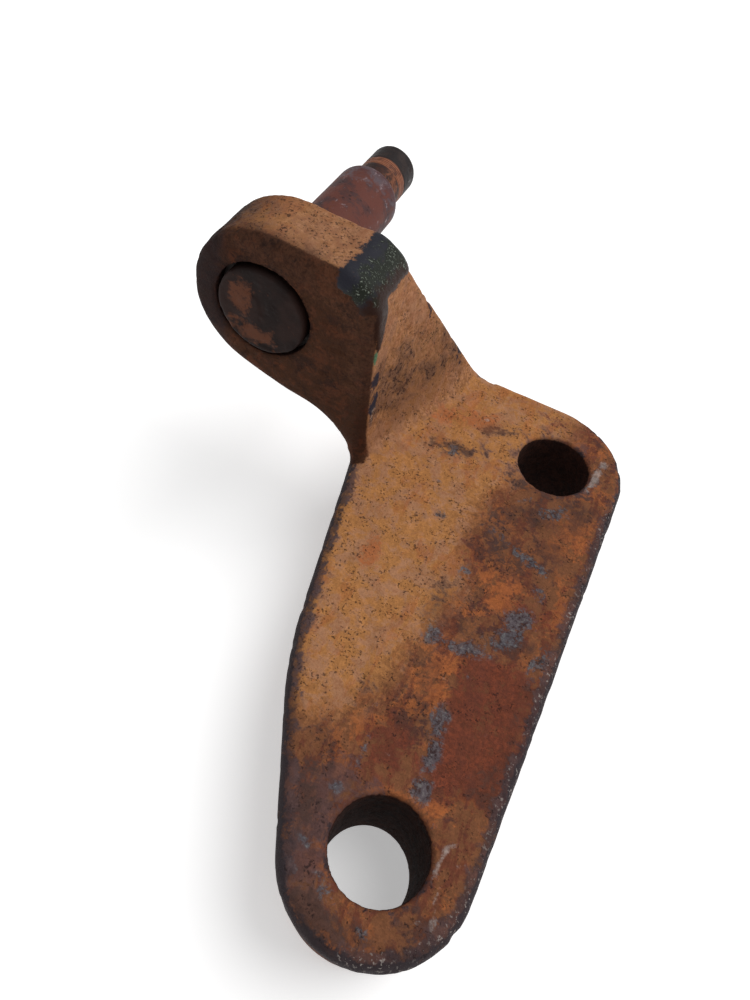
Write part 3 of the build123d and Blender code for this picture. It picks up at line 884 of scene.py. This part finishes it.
def pit_mask(g):
    """Pits and specks: fine noise cut off high, where a coarser noise and the pit mask allow
    it, with round specks from scattered points and denser dots on the neck."""
    where = g.noise(g.place, 5, 4, 0.65) + (g.mask("pits") - 0.4) * 0.16
    pits = g.noise(g.place, 0.85, 3, 0.6, 0.4).rise(0.56, 0.64) * where.rise(0.48, 0.58)
    shift = g.node("TexNoise", {}, {"Vector": g.place}, out="Color")
    specks = g.cells(g.node("VectorMath", {}, {0: g.place, 1: shift}), 2.1)
    pits = pits.highest(specks.rise(0.24, 0.1) * where.rise(0.5, 0.56))
    crowded = (g.patch * 0.5 + g.mask("neck_pits") * 0.4).rise(0.55, 0.72)
    return pits.highest(g.noise(g.place, 1.5, 3, 0.6, 0.6).rise(0.55, 0.6) * crowded)


def marked_colour(g, look, colour, pits):
    """Pits, blots, chalky marks and flecks, green paint, painted shade that is partly dark oily
    rust on the lug's near face, and painted shade in the bores."""
    patch, mottle, flecks = g.patch, g.mottle, g.flecks
    colour = g.mix(colour, PIT_BLACK, pits * 0.75)
    colour = g.layer(colour, BLUE_BLOT, "blots", 0.92, 0.3, 0.6)
    colour = g.layer(colour, look.chalk, "chalk", 0.62, 0.35, 1.25)
    edge_flecks = g.noise(g.place, 0.9, 3, 0.6).rise(0.58, 0.65) * g.mask("flecked").rise(0.2, 0.6)
    colour = g.mix(colour, look.chalk, edge_flecks * patch * 0.8)
    colour = g.layer(colour, GREEN_PAINT, "green", 0.9, 0.3, 0.6)
    # Painted shade, partly dark oily rust, on the lug's near face, underside and outer end, lighter
    # towards the top of the near face.
    shade = g.mix(look.shade, SHADE_AND_OIL_RUST, (mottle * 0.5 + patch * 0.5).rise(0.45, 0.8) * 0.75)
    shade = g.mix(shade, SHADE_AND_OIL_BLACK, (g.smear * 0.6 + g.broad * 0.4).rise(0.5, 0.8) * 0.7)
    shade = g.mix(shade, SHADE_AND_OIL_END, (g.mask("far_end") + g.breakup * 0.4).rise(0.3, 0.8) * 0.8)
    lighter_top = (g.mask("near_top") * (0.3 + flecks * 0.7)).rise(0.3, 0.9)
    shade = g.mix(shade, NEAR_FACE_TOP_BROWN, lighter_top * 0.35)
    colour = g.mix(colour, shade, (g.mask("shade") + (flecks - 0.5) * 0.3).rise(0.25, 0.75) * 0.96)
    # Painted shade: the bore walls and the pin's recess are painted near-black brown.
    bore = g.mix(BORE_SHADE_BROWN, BORE_SHADE_DARK, mottle)
    colour = g.mix(colour, bore, g.mask("bore").rise(0.35, 0.8))
    clouds = (g.grain - 0.5) * 0.6 + (flecks - 0.5) * 0.32 + (mottle - 0.5) * 0.16
    return g.tint(colour, clouds + 0.98)


def casting_material(look):
    """Layers of rust over scale, each with its mask broken up by noise of its own size, then
    tar: smooth blue-black above, with painted highlights as pale glints along the bend, glossy dark
    brown below."""
    g = RustGraph("rusted_casting")
    mottle, flecks = g.mottle, g.flecks
    pits = pit_mask(g)
    colour = weathered_colour(g, look, rust_colour(g, look))
    colour = marked_colour(g, look, colour, pits)
    angle = g.mask("tar_angle")
    ragged = angle + (mottle - 0.5) * 0.2
    frayed = ((mottle - 0.5) * 0.5 + (flecks - 0.5) * 0.3) * g.mask("tar").rise(0.0, 0.2)
    tar = (g.mask("tar") + frayed).rise(0.3, 0.72)
    bend = ragged.rise(0.16, 0.34) * (angle + (g.patch - 0.5) * 0.2).rise(0.68, 0.5)
    # Painted highlights: pale glints along the tar's bend, also used as bumps.
    painted_glints = g.noise(g.place, 0.55, 2, 0.5).rise(0.54, 0.66)
    painted_glints = painted_glints * (flecks * 0.6 + mottle * 0.5).rise(0.35, 0.8) * bend
    tar_colour = g.mix(TAR_BLUE, TAR_BROWN, ragged.rise(0.42, 0.62))
    tar_colour = g.mix(tar_colour, TAR_GREEN, bend * 0.85)
    tar_colour = g.mix(tar_colour, TAR_PAINTED_GLINT, painted_glints * 0.75)
    colour = g.mix(colour, tar_colour, tar)
    skin = 0.86 - g.mask("slate") * 0.14 + (flecks - 0.5) * 0.16 - g.mask("edge_dark") * 0.14
    glossy = 0.55 - angle.rise(0.3, 0.6) * 0.1 + (flecks - 0.5) * 0.2
    height = g.grain * 0.5 + flecks * 0.3 + mottle * 0.3 - pits * 0.4
    return g.finish(
        Base_Color=colour, Roughness=skin + (glossy - skin) * tar,
        Normal=g.bump(height * (1 - tar * 0.6) + painted_glints * tar, 0.25),
        Specular_IOR_Level=0.12,
    )


# ---- the pin and what it runs in -------------------------------------------------------------


def revolved_mesh(profile, around, centre):
    """A surface of revolution about +Y: the point (r cos a, y, r sin a) for each profile point
    (y, r) and angle a. Each end runs in to one point on the axis, so the surface is closed."""
    y, r = profile[:, 0], profile[:, 1]
    angle = np.linspace(0, 2 * np.pi, around, endpoint=False)
    rings = len(y)
    grid = np.empty((rings, around, 3))
    grid[..., 0] = centre[0] + r[:, None] * np.cos(angle)
    grid[..., 1] = y[:, None]
    grid[..., 2] = centre[1] + r[:, None] * np.sin(angle)
    ends = np.array([[centre[0], y[0], centre[1]], [centre[0], y[-1], centre[1]]])
    points = np.vstack([grid.reshape(-1, 3), ends])
    here = np.arange(around)
    after = (here + 1) % around
    rows = np.arange(rings - 1)[:, None] * around
    quads = np.stack([rows + here, rows + around + here, rows + around + after, rows + after], -1)
    start, end, last_ring = rings * around, rings * around + 1, (rings - 1) * around
    caps = np.vstack([
        np.stack([np.full(around, start), here, after], -1),
        np.stack([np.full(around, end), last_ring + after, last_ring + here], -1),
    ])
    mesh = bpy.data.meshes.new("revolved")
    mesh.from_pydata((points * MM).tolist(), [], quads.reshape(-1, 4).tolist() + caps.tolist())
    mesh.polygons.foreach_set("use_smooth", np.ones(len(mesh.polygons), bool))
    mesh.update()
    return mesh


def rounded_profile(corners, step):
    """The line through (y, r, rounding) corners. Each corner is a curve that leaves the line
    its rounding away on both sides; straight runs are divided evenly at about the step."""
    corners = np.array(corners, float)
    stops = [corners[:1, :2]]
    for i in range(1, len(corners) - 1):
        before, here, after = corners[i - 1, :2], corners[i, :2], corners[i + 1, :2]
        size = corners[i, 2]
        entry = here + (before - here) * (size / np.hypot(*(before - here)))
        leave = here + (after - here) * (size / np.hypot(*(after - here)))
        t = np.linspace(0, 1, max(2, int(1.6 * size / step) + 1))[:, None]
        stops.append((1 - t) ** 2 * entry + 2 * t * (1 - t) * here + t**2 * leave)
    stops.append(corners[-1:, :2])
    line = np.vstack(stops)
    line = line[np.r_[True, np.hypot(*np.diff(line, axis=0).T) > 1e-6]]
    parts = []
    for a, b in zip(line[:-1], line[1:]):
        count = max(1, int(np.hypot(*(b - a)) / step))
        parts.append(a + np.linspace(0, 1, count, endpoint=False)[:, None] * (b - a))
    return np.vstack([*parts, line[-1:]])


def pin_mesh(look):
    """The pin as one turned surface: head, shank, ring groove, round shoulder and spigot. Fine
    turned lines are taken off the spigot's radius, then every point is pushed in along its
    normal by low waves and small dents, deeper on the head's face and the tail's rim."""
    profile = rounded_profile(PIN_OUTLINE, look.step / MM)
    y, r = profile.T
    lines = 0.14 * smooth_step(np.cos(2 * np.pi * (y - RING_Y) / RING_PITCH), 0.2, 0.95)
    lines *= smooth_step(y, RINGS_START_Y, 193.8) * smooth_step(y, 197.9, 197.3)
    lines += 0.16 * np.exp(-(((y - RINGS_START_Y) / 0.35) ** 2))
    lines += 0.14 * np.exp(-(((y - RINGS_END_Y) / 0.3) ** 2))
    lines += 0.05 * smooth_step(np.cos(2 * np.pi * y / 1.3), 0.5, 1) * (y > 188) * (y < 193)
    spigot = (r > SPIGOT_R - 0.5) & (y > SHOULDER_Y) & (y < TAIL_Y - 1.3)
    profile = np.stack([y, r - lines * spigot], -1)
    mesh = revolved_mesh(profile, look.around, (PIN_X, PIN_Z))
    points = read_points(mesh)
    normals = read_normals(mesh)
    depth = 0.05 * rough(points, 4, 3, 5) + 0.16 * smooth_step(rough(points, 3.4, 2, 9), 0.7, 0.9)
    on_head = points[:, 1] < HEAD_FACE_Y + 1.5
    dents = 0.1 * rough(points, 5, 3, 13) + 0.25 * smooth_step(rough(points, 6, 2, 19), 0.66, 0.85)
    depth += on_head * dents
    tail_rim = np.exp(-(((points[:, 1] - TAIL_Y) / 0.9) ** 2))
    tail_rim = tail_rim * (np.hypot(points[:, 0] - PIN_X, points[:, 2] - PIN_Z) > 7)
    depth += 0.22 * tail_rim * rough(points, 2.2, 2, 33)
    write_points(mesh, points - normals * depth[:, None])
    rust = spot(points, PIN_X - 7, HEAD_FACE_Y, PIN_Z + 3, 4.5, 50, 6.5)
    rust = rust + spot(points, PIN_X - 2, HEAD_FACE_Y, PIN_Z - 9, 8, 50, 4)
    set_mask(mesh, "head_rust", rust * on_head)
    return mesh


def spigot_colour(g, look, colour, y, smear, mottle, flecks):
    """The bands beyond the shoulder, laid over the shank's colour: brown, the orange turned
    rings, and the dark oily end with its worn rim."""
    wobble = (mottle - 0.5) * 1.2
    base = g.mix(SPIGOT_BROWN, SPIGOT_DARK, mottle.rise(0.4, 0.65))
    base = g.mix(base, look.orange, (smear * 0.6 + flecks * 0.4).rise(0.48, 0.6) * 0.55)
    colour = g.mix(colour, base, (y + wobble).rise(186.2, 187.6))
    rings = g.mix(look.orange, RING_BRIGHT, flecks.rise(0.5, 0.66) * 0.7)
    rings = g.mix(rings, RING_GRIME, (smear * 0.5 + mottle * 0.5).rise(0.47, 0.6) * 0.75)
    turned = g.node("Math", {"operation": "SINE"}, {0: (y - RING_Y) * (2 * math.pi / RING_PITCH)})
    rings = g.mix(rings, RING_GROOVE, turned.rise(0.2, 0.9) * 0.75)
    in_rings = (y + wobble * 0.4).rise(193.1, 193.7) * (y + wobble * 0.6).rise(198.4, 197.6)
    colour = g.mix(colour, rings, in_rings)
    end = g.mix(look.end, END_BROWN, mottle.rise(0.45, 0.62) * 0.6)
    colour = g.mix(colour, end, (y + wobble * 0.6).rise(197.8, 198.5))
    rim = (y + (flecks - 0.5) * 1.2).rise(206.6, 207.5)
    return g.mix(colour, RIM_BROWN, rim * 0.55)


def pin_material(look):
    """Bands of finish along the pin's own axis, each broken up by smears that run round it."""
    g = Graph("worn_pin_steel")
    place = g.millimetres()
    y = g.node("SeparateXYZ", {}, {0: place}, out="Y")
    smear = g.noise(g.millimetres((1.0, 0.25, 1.0)), 4.5, 4, 0.6, 0.5)
    mottle = g.noise(place, 4.2, 5, 0.62, 0.4)
    flecks = g.noise(place, 1.2, 5, 0.68)
    grain = g.noise(place, 0.45, 3, 0.7)
    broad = g.noise(place, 15, 3)
    darker = (broad + (mottle - 0.5) * 0.6).rise(0.46, 0.62)
    colour = g.mix(look.shank, SHANK_DARK, darker * 0.8)
    colour = g.mix(colour, SHANK_RUST, (smear + (flecks - 0.5) * 0.4).rise(0.56, 0.68) * 0.6)
    blue = (y + (mottle - 0.5) * 18).rise(174, 184)
    colour = g.mix(colour, SHANK_BLUE, blue * 0.5)
    scratches = g.noise(g.millimetres((0.7, 0.35, 0.7)), 1.9, 4, 0.7, 0.5)
    scuffs = scratches.rise(0.56, 0.7) * mottle.rise(0.46, 0.58)
    near_shoulder = (y + (mottle - 0.5) * 12).rise(166, 178) * y.rise(186.5, 185)
    colour = g.mix(colour, SHOULDER_GREY, (near_shoulder * mottle).rise(0.45, 0.62) * 0.5)
    colour = g.mix(colour, look.scuff, scuffs * 0.75)
    dark_spots = g.cells(place, 2.3).rise(0.3, 0.16) * broad.rise(0.45, 0.6)
    colour = g.mix(colour, SHANK_SPOT, dark_spots * 0.7)
    colour = spigot_colour(g, look, colour, y, smear, mottle, flecks)
    head = g.mix(look.head, HEAD_DARK, broad.rise(0.4, 0.6))
    head_rust = (g.mask("head_rust") + (mottle - 0.5) * 2.2 + (flecks - 0.5) * 0.9).rise(0.3, 0.8)
    head = g.mix(head, look.head_rust, head_rust * 0.85)
    on_head = y.rise(HEAD_BACK_Y + 0.4, HEAD_BACK_Y - 0.4)
    colour = g.mix(colour, head, on_head)
    colour = g.tint(colour, (grain - 0.5) * 0.45 + (flecks - 0.5) * 0.3 + 1.0)
    height = flecks * 0.5 + grain * 0.25 - dark_spots * 0.5
    return g.finish(
        Base_Color=colour, Metallic=scuffs * 0.6,
        Roughness=0.58 + (flecks - 0.5) * 0.35 - scuffs * 0.2 - blue * 0.08 + on_head * 0.02,
        Normal=g.bump(height, 0.12), Specular_IOR_Level=0.1,
    )


def running_part_material(name, clean, grime, streak, metal, rough_low):
    """Greasy metal between moving faces: turned streaks round the pin under patches of grime."""
    g = Graph(name)
    place = g.millimetres()
    centred = g.node("VectorMath", {"operation": "SUBTRACT"}, {0: place, 1: (PIN_X, 0, PIN_Z)})
    flat = g.node("VectorMath", {"operation": "MULTIPLY"}, {0: centred, 1: (1, 0, 1)})
    radius = g.node("VectorMath", {"operation": "LENGTH"}, {0: flat}, out="Value")
    y = g.node("SeparateXYZ", {}, {0: place}, out="Y")
    turned = g.noise(g.node("CombineXYZ", {}, {0: radius, 1: y, 2: 0.0}), 0.35, 3, 0.6)
    mottle = g.noise(place, 3.2, 5, 0.62, 0.4)
    flecks = g.noise(place, 0.9, 4, 0.66)
    colour = g.mix(clean, streak, turned.rise(0.46, 0.62) * 0.6)
    dirt = (mottle + (flecks - 0.5) * 0.6).rise(0.4, 0.58)
    colour = g.mix(colour, grime, dirt * 0.85)
    colour = g.tint(colour, (flecks - 0.5) * 0.5 + 1.0)
    roughness = rough_low + dirt * 0.3 + (turned - 0.5) * 0.25
    return g.finish(
        Base_Color=colour, Roughness=roughness, Metallic=(1 - dirt) * metal,
        Normal=g.bump(turned * 0.6 + flecks * 0.3 + dirt * 0.4, 0.08),
    )


def floor_material(look):
    """Matt pale card with a very faint unevenness, slightly lit from within to stay white."""
    g = Graph("pale_floor")
    faint = g.noise(g.millimetres(), 60, 3, 0.5)
    colour = g.tint(look.floor, 0.995 + (faint - 0.5) * 0.01)
    return g.finish(
        Base_Color=colour, Roughness=0.9, Specular_IOR_Level=0.2,
        Emission_Color=(1.0, 1.0, 1.0), Emission_Strength=0.38,
    )


# ---- operators: one for each piece or group, and one for the stage ---------------------------


class ARM_OT_casting(bpy.types.Operator):
    """Build the rusty casting over the CAD arm"""

    bl_idname = "rusty_arm.casting"
    bl_label = "Casting"

    def execute(self, context):
        look = context.scene.rusty_arm.casting
        mesh = casting_mesh(look)
        if len(mesh.polygons) < 1000:
            raise RuntimeError("the casting's skin came out empty")
        mesh.materials.append(casting_material(look))
        link("casting_skin", mesh, "arm", replaces="arm")
        return {"FINISHED"}


class ARM_OT_pin(bpy.types.Operator):
    """Build the turned swivel pin over the CAD pin"""

    bl_idname = "rusty_arm.pin"
    bl_label = "Swivel pin"

    def execute(self, context):
        look = context.scene.rusty_arm.pin
        mesh = pin_mesh(look)
        mesh.materials.append(pin_material(look))
        link("turned_pin", mesh, "pin", replaces="swivel_pin")
        return {"FINISHED"}


class ARM_OT_running_parts(bpy.types.Operator):
    """Give the bush, washers and retaining ring their finishes"""

    bl_idname = "rusty_arm.running_parts"
    bl_label = "Bush, washers and ring"

    def execute(self, context):
        for node, finish in RUNNING_FINISHES.items():
            material = running_part_material(*finish)
            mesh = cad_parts[node].data
            if not mesh.materials:
                mesh.materials.append(material)
            for i in range(len(mesh.materials)):
                mesh.materials[i] = material
        return {"FINISHED"}


class ARM_OT_stage(bpy.types.Operator):
    """Set up the floor, the lights and the camera"""

    bl_idname = "rusty_arm.stage"
    bl_label = "Stage"

    def execute(self, context):
        look = context.scene.rusty_arm.stage
        scene = context.scene
        mesh = bpy.data.meshes.new("floor")
        half = FLOOR_HALF
        corners = [(-half, -half, 0), (half, -half, 0), (half, half, 0), (-half, half, 0)]
        mesh.from_pydata(corners, [], [(0, 1, 2, 3)])
        mesh.materials.append(floor_material(look))
        floor = bpy.data.objects.new("floor", mesh)
        scene.collection.objects.link(floor)
        world = bpy.data.worlds.new("even_fill")
        world.use_nodes = True
        background = world.node_tree.nodes["Background"]
        background.inputs["Color"].default_value = (1, 1, 1, 1)
        background.inputs["Strength"].default_value = look.sky
        scene.world = world
        sun = bpy.data.lights.new("soft_key", "SUN")
        sun.energy = look.sun
        sun.angle = look.sun_spread
        key = bpy.data.objects.new("soft_key", sun)
        key.rotation_euler = Vector(LIGHT_FROM).to_track_quat("Z", "Y").to_euler()
        scene.collection.objects.link(key)
        lens = bpy.data.cameras.new("viewpoint")
        lens.sensor_fit = "VERTICAL"
        lens.sensor_height = FILM_HEIGHT
        lens.lens = look.lens
        lens.clip_start = 0.01
        lens.clip_end = 50
        axes = (Vector(CAMERA_RIGHT), -Vector(CAMERA_DOWN), -Vector(CAMERA_FORWARD))
        turn = Matrix(axes).transposed().to_4x4()
        camera = bpy.data.objects.new("viewpoint", lens)
        camera.matrix_world = Matrix.Translation(Vector(CAMERA_PLACE) * MM) @ turn
        scene.collection.objects.link(camera)
        scene.camera = camera
        scene.view_settings.view_transform = "Standard"
        scene.view_settings.look = "None"
        return {"FINISHED"}


class ARM_PT_panel(bpy.types.Panel):
    """Lists the build steps in the 3D view's sidebar"""

    bl_idname = "ARM_PT_panel"
    bl_label = "Rusty arm with swivel pin"
    bl_space_type = "VIEW_3D"
    bl_region_type = "UI"
    bl_category = "Arm"

    def draw(self, context):
        for step in (ARM_OT_casting, ARM_OT_pin, ARM_OT_running_parts, ARM_OT_stage):
            self.layout.operator(step.bl_idname)


CLASSES = (
    ArmCastingSettings, PinSettings, StageSettings, RustyArmSettings,
    ARM_OT_casting, ARM_OT_pin, ARM_OT_running_parts, ARM_OT_stage, ARM_PT_panel,
)


def register():
    for cls in CLASSES:
        bpy.utils.register_class(cls)
    bpy.types.Scene.rusty_arm = bpy.props.PointerProperty(type=RustyArmSettings)


def unregister():
    del bpy.types.Scene.rusty_arm
    for cls in reversed(CLASSES):
        bpy.utils.unregister_class(cls)


def main():
    """Builds every piece and the stage."""
    register()
    bpy.ops.rusty_arm.casting()
    bpy.ops.rusty_arm.pin()
    bpy.ops.rusty_arm.running_parts()
    bpy.ops.rusty_arm.stage()
    bpy.context.view_layer.update()


if __name__ == "__main__":
    main()
